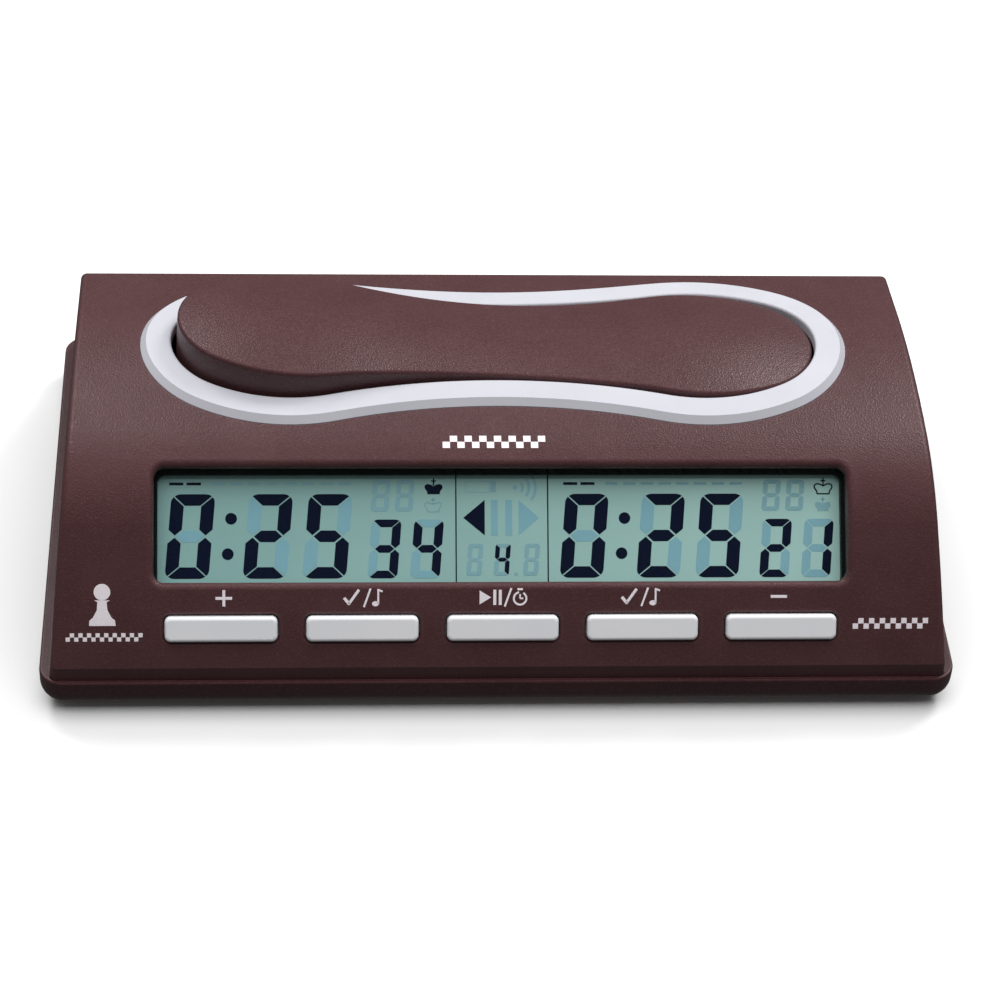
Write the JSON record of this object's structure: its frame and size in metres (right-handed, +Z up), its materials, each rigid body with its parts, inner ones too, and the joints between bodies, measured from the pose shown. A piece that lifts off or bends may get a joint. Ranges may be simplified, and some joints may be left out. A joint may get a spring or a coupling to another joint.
{
  "type": "chess clock",
  "caption": "Two-player digital chess clock: wedge case with a see-saw lever in a waisted ring on top, sloped display, row of keys below and a battery bay underneath.",
  "frame": {"origin": "centre of the footprint, on the table", "axes": "+X along the clock's length to the right-hand player, -Y out of the display side, +Z up"},
  "size_m": [0.1706, 0.1006, 0.05],
  "materials": {
    "maroon_shell": "fine matt grain, dark maroon",
    "maroon_base": "satin moulded plastic, dark maroon",
    "maroon_rocker": "fine matt grain, dark maroon",
    "white_plastic": "satin white moulded plastic",
    "grey_keys": "satin pale grey moulded plastic",
    "steel": "zinc plated steel",
    "black_rubber": "matt black rubber",
    "circuit_board": "green solder mask",
    "black_plastic": "moulded black plastic",
    "white_switch": "moulded natural plastic",
    "clear_window": "clear acrylic window",
    "display_mask": "matt black mask",
    "display_glass": "thin glass with polariser",
    "display_reflector": "grey-green reflector film",
    "zebra_rubber": "conductive elastomer",
    "tin_metal": "tinned metal",
    "cell_jacket": "plain printed sleeve with bright ends"
  },
  "bodies": {
    "case": {"base_tray": "maroon_base", "top_shell": "maroon_shell", "trim_ring": "white_plastic", "rocker_pin": "steel", "stop_pads": "black_rubber", "switch_board": "circuit_board", "switch_housing_left": "black_plastic", "switch_housing_right": "black_plastic", "display_window": "clear_window", "display_mask": "display_mask", "display_glass_front": "display_glass", "display_glass_back": "display_glass", "display_reflector": "display_reflector", "zebra_strips": "zebra_rubber", "main_board": "circuit_board", "controller_chip": "black_plastic", "clock_crystal": "tin_metal", "key_board": "circuit_board", "key_switches": "black_plastic", "battery_cell": "cell_jacket", "battery_plate": "tin_metal", "battery_spring": "tin_metal", "buzzer": "black_plastic", "rubber_feet": "black_rubber", "case_screws": "steel", "board_screws": "steel"},
    "rocker": {"rocker": "maroon_rocker"},
    "battery_cover": {"battery_cover": "maroon_base"},
    "switch_left": {"switch_plunger_left": "white_switch"},
    "switch_right": {"switch_plunger_right": "white_switch"},
    "key_plus": {"key_plus": "grey_keys", "plunger_plus": "white_switch"},
    "key_confirm_left": {"key_confirm_left": "grey_keys", "plunger_confirm_left": "white_switch"},
    "key_play_pause": {"key_play_pause": "grey_keys", "plunger_play_pause": "white_switch"},
    "key_confirm_right": {"key_confirm_right": "grey_keys", "plunger_confirm_right": "white_switch"},
    "key_minus": {"key_minus": "grey_keys", "plunger_minus": "white_switch"}
  },
  "joints": [
    {"name": "rocker_tilt", "type": "hinge", "parent": "case", "child": "rocker", "pos_m": [0, 0.0055, 0.038], "axis": [0, 1, 0], "range_deg": [-6.7, 0]},
    {"name": "switch_left_travel", "type": "slide", "parent": "case", "child": "switch_left", "axis": [1, 0, 0], "range_m": [0, 0.0018]},
    {"name": "switch_right_travel", "type": "slide", "parent": "case", "child": "switch_right", "axis": [1, 0, 0], "range_m": [0, 0.0018]},
    {"name": "battery_cover_slide", "type": "slide", "parent": "case", "child": "battery_cover", "axis": [0, -1, 0], "range_m": [0, 0.0025]},
    {"name": "key_plus_press", "type": "slide", "parent": "case", "child": "key_plus", "axis": [0, 0.8481, -0.5299], "range_m": [0, 0.0007], "stiffness_N_per_m": 400, "springref_m": -0.0004},
    {"name": "key_confirm_left_press", "type": "slide", "parent": "case", "child": "key_confirm_left", "axis": [0, 0.8481, -0.5299], "range_m": [0, 0.0007], "stiffness_N_per_m": 400, "springref_m": -0.0004},
    {"name": "key_play_pause_press", "type": "slide", "parent": "case", "child": "key_play_pause", "axis": [0, 0.8481, -0.5299], "range_m": [0, 0.0007], "stiffness_N_per_m": 400, "springref_m": -0.0004},
    {"name": "key_confirm_right_press", "type": "slide", "parent": "case", "child": "key_confirm_right", "axis": [0, 0.8481, -0.5299], "range_m": [0, 0.0007], "stiffness_N_per_m": 400, "springref_m": -0.0004},
    {"name": "key_minus_press", "type": "slide", "parent": "case", "child": "key_minus", "axis": [0, 0.8481, -0.5299], "range_m": [0, 0.0007], "stiffness_N_per_m": 400, "springref_m": -0.0004}
  ],
  "couplings": [
    {"joint": "switch_left_travel", "follows": "rocker_tilt", "m_per_rad": -0.0145},
    {"joint": "switch_right_travel", "follows": "rocker_tilt", "m_per_rad": -0.0145}
  ]
}
